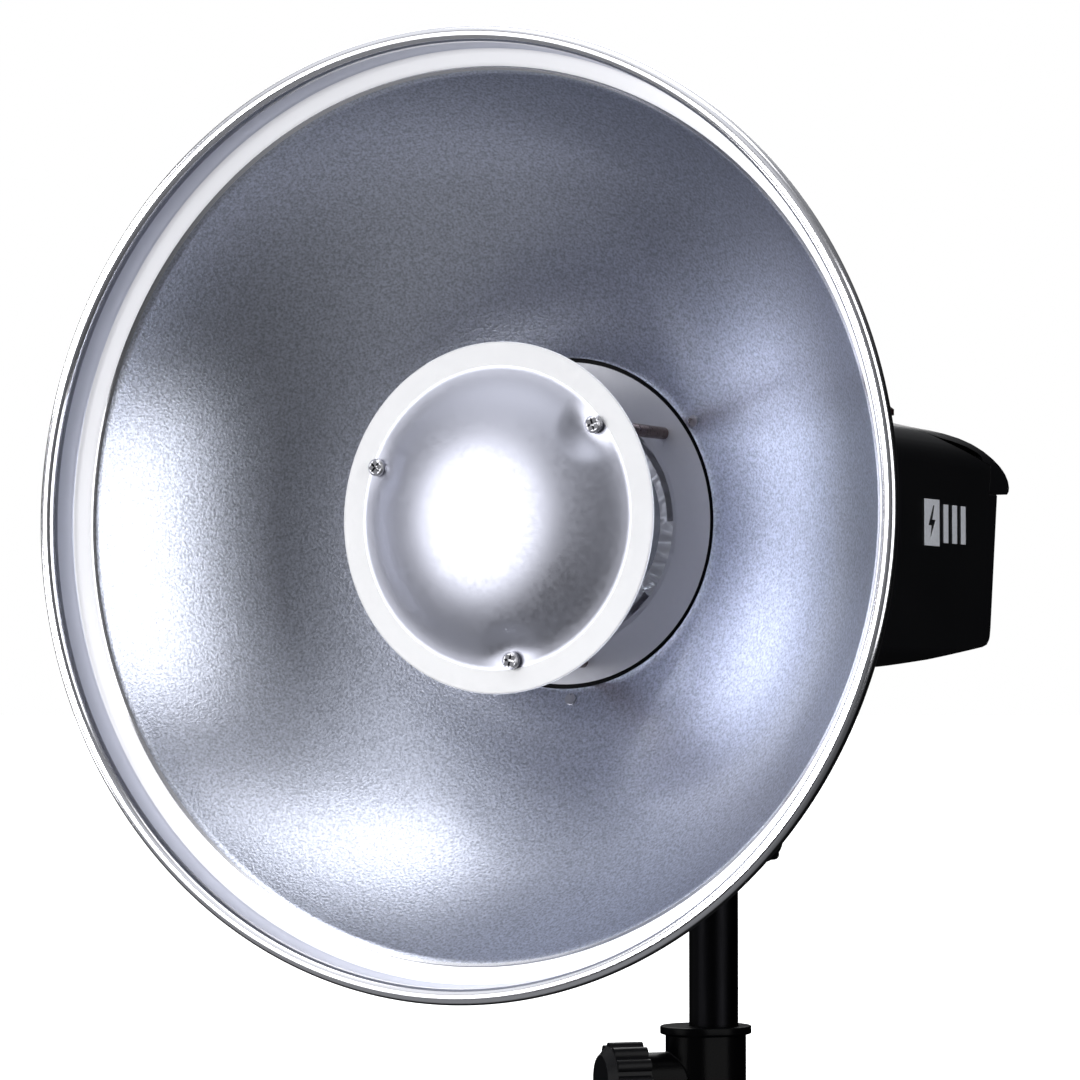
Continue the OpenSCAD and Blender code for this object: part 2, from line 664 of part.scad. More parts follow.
// ---------- Dish ----------
p0 = [193.3, 18.6];
p1 = [76, 109];
chord = norm(p1 - p0);
bow_r = chord / (2 * sin(bow));
phi0 = 90 - (atan2(p1[1] - p0[1], p0[0] - p1[0]) + bow);
bow_c = p0 - bow_r * [cos(phi0), sin(phi0)];
bead_c = rim_r - 3.5;
function back_d(r) = bow_c[1] + sqrt(pow(bow_r + sheet_t, 2) - pow(r - bow_c[0], 2));
module dish_bowl() {
    inner = concat(
        arc(bead_c, 0, 3.5, 90, -180, 18),
        [[202.3, 12.4], [201.9, 13.3], [201.0, 14.0], [195.9, 16.3], [195.1, 16.9], [194.3, 18.1]],
        arc(bow_c[0], bow_c[1], bow_r, phi0, phi0 + 2 * bow, 20),
        [[75.2, 109.5], [75.0, 110.0]]);
    outer = concat([[75.3, 110.7]],
        arc(bow_c[0], bow_c[1], bow_r + sheet_t, phi0 + 2 * bow, phi0, 20),
        [[195.2, 18.9], [196.0, 17.7], [201.6, 15.2], [203.0, 14.2], [203.5, 12.9]],
        arc(bead_c, 0, 2.3, -180, 90, 16));
    color([0.8, 0.81, 0.83]) difference() {
        lathe(concat(inner, outer));
        rivet_spots() translate([0, -3, 0]) ycyl(1.7, 8);
    }
}
// Points on the back of the sheet, +Y along the sheet's normal.
rivet_c = 80.5;
rivet_lag = 4.8;
module rivet_spots() {
    three(rod_a - rivet_lag, rivet_c) translate([0, dy(back_d(rivet_c)), 0]) rotate([0, 0, -19.2]) children();
}
module mount_ring() {
    color([0.55, 0.56, 0.58]) difference() {
        union() {
            lathe([[56.5, 110.6], [73.2, 110.6], [73.2, 113.2], [75.4, 113.2], [75.6, back_d(76) + 0.6],
                [88, back_d(88) + 0.15], [88, back_d(88) + 2.4], [77.2, back_d(77.2) + 2.5], [75.8, 115],
                [60, 115], [60, 126.6], [53.2, 126.6], [53.2, 113.6], [56.5, 113.6]]);
            for (k = [0:2]) translate([0, rim_y, axis_z]) rotate([-90, 0, 0]) rotate([0, 0, k * 120])
                rotate_extrude(angle = 40) polygon([[49.5, 120.3], [54, 120.3], [54, 123.6], [49.5, 123.6]]);
        }
        // slot for the stop pin
        translate([0, rim_y, axis_z]) rotate([-90, 0, 0]) rotate([0, 0, -92]) rotate_extrude(angle = 64.5)
            polygon([[54.9, 124.4], [58.3, 124.4], [58.3, 127], [54.9, 127]]);
        three(rod_a, rod_c) translate([0, dy(108), 0]) ycyl(2.0, 10);
        rivet_spots() translate([0, -3, 0]) ycyl(1.7, 8);
    }
}
module ring_rivets() {
    color([0.6, 0.61, 0.63]) rivet_spots() union() {
        translate([0, -2.3, 0]) ycyl(2.6, 0.98, 48);
        translate([0, -1.6, 0]) ycyl(1.65, 4.8, 48);
        translate([0, 2.75, 0]) ycyl(2.3, 1.0, 48);
    }
}
module spacer_rods() {
    color([0.45, 0.42, 0.42]) three(rod_a, rod_c) difference() {
        union() {
            translate([0, dy(defl_d + 1.2), 0]) ycyl(2.8, 110.6 - defl_d - 1.2);
            translate([0, dy(110.5), 0]) ycyl(1.95, 9.5);
        }
        translate([0, dy(defl_d + 1), 0]) ycyl(2.0, 9);
    }
}
module rod_nuts() {
    color([0.6, 0.61, 0.63]) three(rod_a, rod_c) difference() {
        translate([0, dy(115.05), 0]) rotate([0, 30, 0]) ycyl(3.9, 3.2, 6);
        translate([0, dy(110), 0]) ycyl(1.95, 12);
    }
}
// Sphere radius of the deflector's dome.
dome_b = 66.2;
dome_r = (dome_b * dome_b + defl_rise * defl_rise) / (2 * defl_rise);
// Depth of the dome's front face at a radius.
function dome_face(r) = defl_d + 0.6 - (sqrt(dome_r * dome_r - r * r) - (dome_r - defl_rise));
module deflector() {
    t = 1.2;
    front = [for (i = [0:14]) let (r = dome_b * i / 14) [r, dome_face(r)]];
    rim = [[67.2, defl_d], [defl_r - 0.4, defl_d], [defl_r, defl_d + 0.4], [defl_r, defl_d + 1.4],
        [defl_r - 0.6, defl_d + 1.4], [67.0, defl_d + 1.3]];
    color([0.86, 0.87, 0.89]) difference() {
        lathe(concat(front, rim, [for (p = reverse(front)) p + [0, t]]));
        three(rod_a, rod_c) translate([0, dy(30), 0]) ycyl(2.05, 30);
        three(rod_a, rod_c) translate([0, dy(defl_d + 1.2), 0]) ycyl(4.2, 10);
        three(rod_a, rod_c) translate([0, dy(30), 0]) ycyl(4.1, defl_d - 0.6 - 30);
    }
}
module deflector_screws() {
    color([0.7, 0.71, 0.73]) three(rod_a, rod_c) difference() {
        union() {
            translate([0, dy(defl_d - 2.5), 0]) ycyl(3.9, 1.85);
            translate([0, dy(defl_d - 3.2), 0]) ycone(3.1, 3.9, 0.72);
            translate([0, dy(defl_d - 0.9), 0]) ycyl(1.98, 8);
        }
        for (a = [20, 110]) translate([0, dy(defl_d - 2.9), 0]) rotate([0, a, 0]) cube([4.6, 2.6, 1.0], center = true);
    }
}

collar_body();
brake_pad();
lock_knob();
lock_stud();
riser_tube();
riser_plug();
spigot();
stand_socket();
tilt_washers();
socket_knob();
socket_stud();
foot_bracket();
pivot_bolt();
tilt_lever();
umbrella_screw();
front_ring();
ring_screws();
front_frame();
case_shell();
case_screws();
side_badge();
reflector_pan();
flash_tube();
lamp_socket();
model_lamp();
glass_dome();
chassis();
capacitors();
main_board();
transformer();
fan_frame();
fan_rotor();
rear_panel();
handle();
fascia();
display();
power_dial();
lamp_dial();
test_button();
mode_button();
slave_button();
power_rocker();
mains_inlet();
inlet_pins();
fuse_cap();
sync_jack();
slave_sensor();
latch_slide();
dish_bowl();
ring_rivets();
mount_ring();
spacer_rods();
rod_nuts();
deflector();
deflector_screws();
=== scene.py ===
import math
from collections import namedtuple

import bmesh
import bpy
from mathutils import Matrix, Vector


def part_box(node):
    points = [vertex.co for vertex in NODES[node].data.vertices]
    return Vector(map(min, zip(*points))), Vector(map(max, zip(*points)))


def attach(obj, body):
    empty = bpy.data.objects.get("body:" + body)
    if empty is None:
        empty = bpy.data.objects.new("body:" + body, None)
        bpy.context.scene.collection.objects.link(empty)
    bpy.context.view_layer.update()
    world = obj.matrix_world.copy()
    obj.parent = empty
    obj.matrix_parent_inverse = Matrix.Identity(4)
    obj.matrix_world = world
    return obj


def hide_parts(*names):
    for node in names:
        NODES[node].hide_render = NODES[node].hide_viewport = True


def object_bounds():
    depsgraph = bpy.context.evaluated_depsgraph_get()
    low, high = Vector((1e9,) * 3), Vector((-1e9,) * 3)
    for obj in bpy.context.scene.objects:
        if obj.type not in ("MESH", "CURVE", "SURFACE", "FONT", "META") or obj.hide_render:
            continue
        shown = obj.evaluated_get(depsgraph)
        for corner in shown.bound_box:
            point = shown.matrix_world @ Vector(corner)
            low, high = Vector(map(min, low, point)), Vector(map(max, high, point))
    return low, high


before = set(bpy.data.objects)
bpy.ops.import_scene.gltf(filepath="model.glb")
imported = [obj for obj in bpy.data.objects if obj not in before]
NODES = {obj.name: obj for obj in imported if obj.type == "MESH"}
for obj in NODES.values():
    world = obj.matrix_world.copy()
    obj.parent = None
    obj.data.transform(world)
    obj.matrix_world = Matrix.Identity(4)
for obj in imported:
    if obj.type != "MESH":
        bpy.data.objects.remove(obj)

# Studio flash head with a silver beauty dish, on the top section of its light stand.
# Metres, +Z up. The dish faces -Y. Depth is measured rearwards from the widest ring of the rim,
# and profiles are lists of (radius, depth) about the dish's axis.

CAD_BOX = [list(v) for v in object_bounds()]

# ---------- The dish's driving sizes ----------

BOWL_LO, BOWL_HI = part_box("dish_bowl")
BEAD_R = 0.0035
RIM_R = (BOWL_HI.x - BOWL_LO.x) / 2
RIM_Y = BOWL_LO.y + BEAD_R
AXIS_Z = (BOWL_HI.z + BOWL_LO.z) / 2
RIM_CENTRE = Vector((0, RIM_Y, AXIS_Z))
SHEET_T = 0.0012

# The bowl's section is one arc from its lip to its back end, and turns through twice BOWL_BOW.
BOWL_FRONT = Vector((RIM_R - 0.0167, 0.0186))
BOWL_BACK = Vector((0.076, 0.109))
BOWL_BOW = math.radians(20)

# The short stretches between the arcs: inside from the bead inwards, then outside.
WALL = [(0.2029, 0.0020), (0.2024, 0.0110), (0.2023, 0.0124)]
LEDGE = [(0.2020, 0.0132), (0.2012, 0.0139), (0.2000, 0.0145), (0.1962, 0.0161), (0.1954, 0.0166)]
LIP = [(0.1948, 0.0172), (0.1943, 0.0181)]
BACK_END = [(0.0752, 0.1095), (0.0750, 0.1100), (0.0753, 0.1107)]
OUTER_STEP = [(0.1952, 0.0189), (0.1957, 0.0181), (0.1966, 0.0173), (0.2012, 0.0154),
              (0.2025, 0.0147), (0.2032, 0.0138), (0.2035, 0.0129)]

# Steps round the axis, along the bowl's arc, and along the bead's inner and outer face.
TURN_STEPS = 288
BOWL_STEPS = 48
BEAD_IN_STEPS = 32
BEAD_OUT_STEPS = 24

DEFL_LO, DEFL_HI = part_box("deflector")
DEFL_R = (DEFL_HI.x - DEFL_LO.x) / 2
# Depth of the deflector's flat rim, and thickness of the dome's sheet.
DEFL_FLAT = DEFL_HI.y - RIM_Y - 0.0014
DISC_T = 0.0011
DOME_R = 0.0662
DOME_RISE = 0.012
DOME_STEPS = 56

# The dome's slope grows as a power of the radius, and eases off over the outermost part.
SLOPE_POWER = 1.55
EASE_FROM = 0.8
EASE = 0.62

# The screws that hold the deflector, and how the sheet is pulled flat round each of them.
SCREW_CIRCLE = 0.0635
SCREW_ANGLES = [math.radians(38.3) + k * 2 * math.pi / 3 for k in range(3)]
SCREWS = [(SCREW_CIRCLE * math.cos(a), SCREW_CIRCLE * math.sin(a)) for a in SCREW_ANGLES]
SCREW_PULL = (0.85, 0.2, 0.65)
PULL_FLAT = 0.003
PULL_FADE = 0.015

# Radius and depth of the cross recess in a screw's head, whose faces take painted shade, and the
# place of the shadow gap round the mount ring, which is painted black as shade.
RECESS_R = 0.0028
RECESS_D = 0.0016
GAP_SHADE_R = (0.0731, 0.0757)
GAP_SHADE_D = (0.1107, 0.1134)

# ---------- Edges of the CAD pieces ----------

SEAM_WELD = 0.000002
EDGE_ANGLE = math.radians(32)
EDGE_WIDTH = 0.0002
WIDER_EDGES = {"case_shell": 0.0007, "front_frame": 0.0006, "rear_panel": 0.0006,
               "handle": 0.0006, "collar_body": 0.0014, "stand_socket": 0.0008,
               "foot_bracket": 0.0008, "tilt_lever": 0.0007}

# ---------- Studio ----------

CAMERA_OFFSET = Vector((0.81074, -1.43519, -0.07366))
CAMERA_FORWARD = Vector((-0.4698, 0.8820, 0.0378))
CAMERA_LENS = 128.28
CAMERA_SENSOR = 36
CAMERA_REACH = 100

# Soft boxes. Azimuth 0 is in front of the dish, positive to the right. The front one is round.
Box = namedtuple("Box", "name azimuth elevation distance width height power")
KEY_BOX = Box("key_right", 71, 10, 2.2, 1.05, 2.5, 28)
FRONT_BOX = Box("front_left", -30, 2, 2.4, 1.8, 1.8, 24)
TOP_BOX = Box("overhead", 22, 82, 2.0, 1.9, 1.0, 17)
REAR_BOX = Box("rear", 207, 32, 2.6, 1.5, 1.5, 22)
BOWL_BOXES = (Box("left_low", -78, -9, 2.4, 0.7, 0.7, 14),
              Box("left_high", -78, 20, 2.4, 0.7, 0.7, 42),
              Box("fill_low", -13, -9, 2.4, 0.55, 0.55, 18),
              Box("fill_high", -9, 10, 2.4, 0.55, 0.55, 20))

# How the room's brightness runs along one axis, from one place to another.
Fade = namedtuple("Fade", "axis start end first last")
ROOM_LEVEL = Fade("Z", -1.0, 0.3, 0.32, 0.31)
CEILING = Fade("Z", 0.3, 0.75, 0.0, 1.0)
CEILING_SIDE = Fade("X", 0.35, 0.05, 0.42, 1.0)
RIGHT_SIDE = Fade("X", 0.8, -0.1, 0.3, 1.0)
BEHIND = Fade("Y", 0.3, -0.2, 0.03, 1.0)
BEHIND_ABOVE = Fade("Z", 0.2, 0.8, 0.0, 0.9)
ROOM_COLOUR = (0.95, 0.965, 1.0, 1)
WHITE = (1, 1, 1, 1)

# A dark spot in the room: where it lies, its radius in degrees, and how much light is left.
SPOT_AZIMUTH, SPOT_ELEVATION, SPOT_RADIUS, SPOT_LEVEL = -10, -18, 24, 0.1

# The floor lies this far under the part, whose stand goes on below it, so the dish can tilt down.
FLOOR_DROP = 0.09
FLOOR_R = 40
FLOOR_SIDES = 60
FLOOR_GLOW = {"from_low": 0.3, "from_high": 5.0, "low": 0.72, "high": 0.95}


# ---------- Small sums ----------

def smooth_step(t):
    return t * t * (3 - 2 * t)


def direction(azimuth, elevation):
    """Unit vector towards a place in the studio, from angles in degrees."""
    a, e = math.radians(azimuth), math.radians(elevation)
    return Vector((math.sin(a) * math.cos(e), -math.cos(a) * math.cos(e), math.sin(e)))


def circle(steps):
    """Cosine and sine of equal steps round a circle."""
    turns = [2 * math.pi * i / steps for i in range(steps)]
    return [(math.cos(t), math.sin(t)) for t in turns]


def arc(centre, r, first, last, steps):
    """Points of an arc, with its end angles in degrees."""
    turns = [math.radians(first + (last - first) * i / steps) for i in range(steps + 1)]
    return [(centre[0] + r * math.cos(t), centre[1] + r * math.sin(t)) for t in turns]


def shade(colour, factor):
    return tuple(min(1.0, c * factor) for c in colour)


# ---------- Shader nodes ----------

class Shader:
    """A node tree, with short ways to add nodes and join them."""

    def __init__(self, tree):
        self.tree = tree
        tree.nodes.clear()
        self.coord = self.add("ShaderNodeTexCoord")

    def add(self, kind, **values):
        """Adds a node. Each value fills the input of that name, or else the setting."""
        node = self.tree.nodes.new(kind)
        for key, value in values.items():
            if key in node.inputs:
                node.inputs[key].default_value = value
            else:
                setattr(node, key, value)
        return node

    def link(self, source, output, node, socket):
        self.tree.links.new(source.outputs[output], node.inputs[socket])

    def remap(self, source, output, low, high, from_low=0.3, from_high=0.7, curve="LINEAR"):
        """Maps a value from one range to another."""
        ends = {"From Min": from_low, "From Max": from_high, "To Min": low, "To Max": high}
        node = self.add("ShaderNodeMapRange", interpolation_type=curve, **ends)
        self.link(source, output, node, "Value")
        return node


class Material(Shader):
    """A principled material with procedural colour, gloss and grain."""

    def __init__(self, name, **values):
        self.mat = bpy.data.materials.new(name)
        self.mat.use_nodes = True
        super().__init__(self.mat.node_tree)
        self.bsdf = self.add("ShaderNodeBsdfPrincipled")
        for key, value in values.items():
            self.bsdf.inputs[key.replace("_", " ")].default_value = value
        self.link(self.bsdf, "BSDF", self.add("ShaderNodeOutputMaterial"), "Surface")

    def noise(self, scale, detail=3.0, rough=0.5, stretch=None):
        """Noise in the piece's own space, which stretch scales along each axis."""
        node = self.add("ShaderNodeTexNoise", Scale=scale, Detail=detail, Roughness=rough)
        if stretch:
            mapping = self.add("ShaderNodeMapping", Scale=stretch)
            self.link(self.coord, "Object", mapping, "Vector")
            self.link(mapping, "Vector", node, "Vector")
        else:
            self.link(self.coord, "Object", node, "Vector")
        return node

    def tone(self, noise, colour, *stops):
        """Base colour: each stop is a place in the noise and a factor on the colour."""
        node = self.add("ShaderNodeValToRGB")
        self.link(noise, "Fac", node, "Fac")
        parts = node.color_ramp.elements
        while len(parts) < len(stops):
            parts.new(0.5)
        for part, (place, factor) in zip(parts, stops):
            part.position = place
            part.color = (*shade(colour, factor), 1)
        self.link(node, "Color", self.bsdf, "Base Color")

    def roughness(self, noise, low, high):
        self.link(self.remap(noise, "Fac", low, high), "Result", self.bsdf, "Roughness")

    def bump(self, source, output, strength, distance):
        node = self.add("ShaderNodeBump", Strength=strength, Distance=distance)
        self.link(source, output, node, "Height")
        self.link(node, "Normal", self.bsdf, "Normal")


def plastic(name, colour, rough, gloss=0.5, grain=900, depth=0.00004, wear=0.12):
    """Moulded plastic: a fine spark texture, and slight unevenness in gloss and colour."""
    m = Material(name, Specular_IOR_Level=gloss)
    m.tone(m.noise(14, detail=4), colour, (0.3, 1 - wear), (0.7, 1 + wear))
    m.roughness(m.noise(24, detail=2), rough * 0.94, min(1, rough * 1.08))
    if depth:
        cells = m.add("ShaderNodeTexVoronoi", Scale=grain)
        m.link(m.coord, "Object", cells, "Vector")
        m.bump(cells, "Distance", 0.6, depth)
    return m.mat


def metal(name, colour, rough, brush=(1, 1, 1)):
    """Bare or plated metal. The brush packs its fine lines along an axis, or draws them out."""
    m = Material(name, Metallic=1.0)
    lines = m.noise(260, detail=4, rough=0.6, stretch=brush)
    m.tone(lines, colour, (0.25, 0.92), (0.75, 1.08))
    m.roughness(lines, rough * 0.8, min(1, rough * 1.25))
    m.bump(lines, "Fac", 0.5, 0.00003)
    return m.mat


def hammered_silver():
    """Bright aluminium with a fine pebble grain pressed into it."""
    m = Material("bowl_silver", Metallic=1.0)
    pebble = m.noise(860, detail=2, rough=0.6)
    m.tone(pebble, (0.49, 0.515, 0.60), (0.34, 0.7), (0.5, 0.97), (0.66, 1.2))
    m.roughness(m.noise(9), 0.28, 0.305)
    m.bump(pebble, "Fac", 0.5, 0.00022)
    return m.mat


def satin_silver(name, colour, rough, metallic=1.0, tooth=0.00002):
    """Spun aluminium: a soft sheen with a faint tooth. Less metallic with a near-white colour is a
    painted highlight, a face that stays bright under any light.
    """
    m = Material(name, Metallic=metallic)
    fine = m.noise(420)
    m.tone(m.noise(7), colour, (0.3, 0.96), (0.7, 1.03))
    m.roughness(fine, rough * 0.9, rough * 1.12)
    if tooth:
        m.bump(fine, "Fac", 0.25, tooth)
    return m.mat


def glass(name, colour, rough):
    """Clear or frosted glass with faint streaks."""
    m = Material(name, Transmission_Weight=1.0, IOR=1.47)
    streak = m.noise(30)
    m.tone(streak, colour, (0.3, 0.98), (0.7, 1.0))
    m.roughness(streak, rough, rough + 0.03)
    return m.mat


def printed(name, colour, rough=0.4):
    """A printed label film."""
    m = Material(name)
    m.tone(m.noise(500), colour, (0.3, 0.93), (0.7, 1.05))
    m.roughness(m.noise(40), rough * 0.9, rough * 1.1)
    return m.mat


def board_lacquer():
    """Green circuit board with lighter tracks."""
    m = Material("board_green")
    tracks = m.add("ShaderNodeTexBrick", Scale=90.0, Color1=(0.02, 0.16, 0.06, 1),
                   Color2=(0.03, 0.2, 0.08, 1), Mortar=(0.05, 0.28, 0.1, 1))
    m.link(m.coord, "Object", tracks, "Vector")
    m.link(tracks, "Color", m.bsdf, "Base Color")
    m.roughness(m.noise(60), 0.3, 0.42)
    return m.mat


def floor_paper():
    """Pale paper. Its own light grows away from the stand, so that it ends in the white behind."""
    m = Material("floor_pale", Roughness=0.9, Specular_IOR_Level=0.1, Emission_Strength=1.0)
    m.tone(m.noise(3), (1, 1, 1), (0.3, 0.93), (0.7, 0.96))
    away = m.add("ShaderNodeVectorMath", operation="LENGTH")
    m.link(m.coord, "Object", away, 0)
    m.link(m.remap(away, "Value", **FLOOR_GLOW), "Result", m.bsdf, "Emission Color")
    return m.mat


def make_materials():
    """Every material, by the short name that FINISH uses."""
    return {
        # dish
        "bowl": hammered_silver(),
        # Painted highlight: the ledge is part of the bowl's one spun sheet; its near-white, almost
        # non-metallic colour stands in for the light it reflects.
        "ledge": satin_silver("ledge_painted_highlight", (0.84, 0.84, 0.87), 0.4, metallic=0.05),
        # Painted highlight: the flat rim is part of the deflector's one spun sheet; its near-white
        # colour stands in for the front light it reflects.
        "rim": satin_silver("rim_painted_highlight", (0.96, 0.96, 0.98), 0.4, metallic=0.12),
        "wall": satin_silver("wall_silver", (0.58, 0.60, 0.69), 0.36, metallic=0.6),
        "bead": satin_silver("bead_silver", (0.66, 0.66, 0.69), 0.17),
        # Painted shade: black for the shadow gap round the mount ring.
        "gap": plastic("gap_painted_shade", (0.012, 0.012, 0.014), 0.6, gloss=0.2, depth=0),
        "back": satin_silver("back_silver", (0.72, 0.73, 0.76), 0.38),
        "deflector": satin_silver("deflector_silver", (0.53, 0.54, 0.62), 0.33, tooth=0),
        "ring": satin_silver("ring_alloy", (0.7, 0.7, 0.74), 0.5, metallic=0.6),
        # fasteners and bare metal
        "screw": metal("screw_steel", (0.5, 0.5, 0.53), 0.3),
        # Painted shade: dark steel for the shade in the cross recesses of the deflector's screws.
        "recess": metal("recess_painted_shade", (0.12, 0.12, 0.13), 0.4),
        "rod": metal("rod_steel", (0.17, 0.125, 0.12), 0.3, brush=(1, 8, 1)),
        "steel": metal("turned_steel", (0.6, 0.61, 0.63), 0.26, brush=(1, 12, 1)),
        "brass": metal("pad_brass", (0.72, 0.55, 0.25), 0.34),
        "chassis": metal("sheet_alloy", (0.6, 0.61, 0.63), 0.42, brush=(1, 6, 1)),
        "nickel": metal("nickel_plate", (0.7, 0.68, 0.63), 0.22),
        "core": metal("core_steel", (0.3, 0.26, 0.2), 0.5, brush=(1, 20, 1)),
        "pan": satin_silver("pan_bright", (0.88, 0.88, 0.9), 0.16),
        # case, stand and bracket
        "case": plastic("case_black", (0.005, 0.005, 0.006), 0.3, gloss=0.4, depth=0),
        "grip": plastic("grip_black", (0.005, 0.005, 0.006), 0.4, 0.12, 1100, 0.00006),
        "stand": plastic("stand_black", (0.0015, 0.0015, 0.0018), 0.3, 0.04, 1000, 0.00003),
        "cast": plastic("painted_casting", (0.008, 0.008, 0.009), 0.46, 0.22, 700, 0.0001),
        "tube": metal("anodised_black", (0.006, 0.006, 0.007), 0.4, brush=(1, 1, 0.1)),
        "fibre": plastic("red_fibre", (0.35, 0.06, 0.04), 0.7, 0.3, 800, 0.00008),
        # controls and printed films
        "fascia": printed("fascia_film", (0.055, 0.06, 0.068)),
        "badge": printed("badge_film", (0.74, 0.76, 0.82), 0.35),
        "display": plastic("display_smoke", (0.05, 0.006, 0.006), 0.12, depth=0),
        "dial": plastic("dial_black", (0.03, 0.03, 0.033), 0.45),
        "red": plastic("key_red", (0.5, 0.03, 0.025), 0.35),
        "grey": plastic("key_grey", (0.4, 0.41, 0.43), 0.4),
        "inlet": plastic("inlet_black", (0.018, 0.018, 0.02), 0.5),
        "sensor": plastic("sensor_black", (0.02, 0.008, 0.009), 0.2, depth=0),
        # inside the head
        "fan": plastic("fan_black", (0.025, 0.025, 0.027), 0.5),
        "cap": plastic("capacitor_sleeve", (0.04, 0.07, 0.22), 0.35, depth=0),
        "board": board_lacquer(),
        "ceramic": plastic("socket_ceramic", (0.8, 0.78, 0.72), 0.25, depth=0, wear=0.03),
        "dome": glass("dome_glass", (0.96, 0.98, 0.98), 0.02),
        "quartz": glass("tube_quartz", (0.93, 0.96, 0.98), 0.04),
        "frost": glass("lamp_frost", (0.97, 0.95, 0.9), 0.35),
    }


# The material of each CAD node.
FINISH = {
    "collar_body": "stand", "brake_pad": "brass", "lock_knob": "grip", "lock_stud": "steel",
    "riser_tube": "tube", "riser_plug": "stand", "spigot": "steel", "stand_socket": "cast",
    "tilt_washers": "fibre", "socket_knob": "grip", "socket_stud": "steel",
    "foot_bracket": "cast", "pivot_bolt": "steel", "tilt_lever": "stand",
    "umbrella_screw": "steel", "front_ring": "ring", "ring_screws": "screw",
    "front_frame": "case", "case_shell": "case", "case_screws": "screw", "side_badge": "badge",
    "reflector_pan": "pan", "flash_tube": "quartz", "lamp_socket": "ceramic",
    "model_lamp": "frost", "glass_dome": "dome", "chassis": "chassis", "capacitors": "cap",
    "main_board": "board", "transformer": "core", "fan_frame": "fan", "fan_rotor": "fan",
    "rear_panel": "case", "handle": "case", "fascia": "fascia", "display": "display",
    "power_dial": "dial", "lamp_dial": "dial", "test_button": "red", "mode_button": "grey",
    "slave_button": "grey", "power_rocker": "red", "mains_inlet": "inlet",
    "inlet_pins": "nickel", "fuse_cap": "inlet", "sync_jack": "nickel",
    "slave_sensor": "sensor", "latch_slide": "red", "dish_bowl": "bowl",
    "ring_rivets": "screw", "mount_ring": "ring", "spacer_rods": "rod", "rod_nuts": "screw",
    "deflector": "deflector", "deflector_screws": "screw",
}


# ---------- Meshes ----------

def new_piece(name, bm, mats, sharp_from=30):
    """Turns a bmesh into a smooth object whose edges stay sharp from an angle in degrees."""
    mesh = bpy.data.meshes.new(name)
    bm.to_mesh(mesh)
    bm.free()
    piece = bpy.data.objects.new(name, mesh)
    bpy.context.scene.collection.objects.link(piece)
    for mat in mats:
        mesh.materials.append(mat)
    mesh.shade_smooth()
    mesh.set_sharp_from_angle(angle=math.radians(sharp_from))
    return piece


def lathe(bm, profile, slots):
    """Turns a closed profile about the dish's axis. Each stretch has its material slot."""
    rings = [[bm.verts.new((r * ca, RIM_Y + d, AXIS_Z + r * sa)) for r, d in profile]
             for ca, sa in circle(TURN_STEPS)]
    for here, there in zip(rings, rings[1:] + rings[:1]):
        for j, slot in enumerate(slots):
            k = (j + 1) % len(profile)
            face = bm.faces.new((here[j], here[k], there[k], there[j]))
            face.material_index = slot
    bmesh.ops.remove_doubles(bm, verts=bm.verts, dist=1e-7)
    bmesh.ops.dissolve_degenerate(bm, edges=bm.edges, dist=1e-7)
    bmesh.ops.recalc_face_normals(bm, faces=bm.faces)


def bowl_arc():
    """Centre, radius and end angles, in degrees, of the bowl's section."""
    chord = (BOWL_BACK - BOWL_FRONT).length
    radius = chord / (2 * math.sin(BOWL_BOW))
    slope = math.atan2(BOWL_BACK.y - BOWL_FRONT.y, BOWL_FRONT.x - BOWL_BACK.x)
    start = math.pi / 2 - (slope + BOWL_BOW)
    centre = BOWL_FRONT - radius * Vector((math.cos(start), math.sin(start)))
    return centre, radius, math.degrees(start), math.degrees(start + 2 * BOWL_BOW)


def make_bowl(mats):
    """Spun bowl: a rolled bead, a wall, a ledge painted white as a highlight, a lip and the
    hammered bowl.
    """
    centre, radius, front, back = bowl_arc()
    bead = (RIM_R - BEAD_R, 0)
    stretches = (
        ("bead", arc(bead, BEAD_R, 90, -180, BEAD_IN_STEPS)),
        ("wall", WALL),
        ("ledge", LEDGE),
        ("bead", LIP),
        ("bowl", arc(centre, radius, front, back, BOWL_STEPS)),
        ("bead", BACK_END),
        ("back", arc(centre, radius + SHEET_T, back, front, BOWL_STEPS) + OUTER_STEP
         + arc(bead, BEAD_R - SHEET_T, -180, 90, BEAD_OUT_STEPS)),
    )
    names = ["bowl", "ledge", "wall", "bead", "back"]
    profile = [point for _, points in stretches for point in points]
    slots = [names.index(kind) for kind, points in stretches for _ in points]
    bm = bmesh.new()
    lathe(bm, profile, slots)
    piece = new_piece("dish_skin", bm, [mats[name] for name in names], 40)
    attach(piece, "dish")
    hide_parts("dish_bowl")
    return piece


def dome_heights():
    """Heights of the deflector's dome at equal steps of its radius."""
    slopes = []
    for i in range(DOME_STEPS):
        u = (i + 0.5) / DOME_STEPS
        outer = max(0.0, (u - EASE_FROM) / (1 - EASE_FROM))
        slopes.append(u ** SLOPE_POWER * (1 - EASE * smooth_step(outer)))
    total = sum(slopes)
    fall = [0.0]
    for slope in slopes:
        fall.append(fall[-1] + slope / total)
    return [DOME_RISE * (1 - f) for f in fall]


def screw_pull(x, h):
    """How far the sheet is pulled flat at a place on the deflector, 0 to 1."""
    pull = 0.0
    for (screw_x, screw_h), share in zip(SCREWS, SCREW_PULL):
        away = (math.hypot(x - screw_x, h - screw_h) - PULL_FLAT) / PULL_FADE
        pull = max(pull, share * (1 - smooth_step(min(1.0, max(0.0, away)))))
    return pull


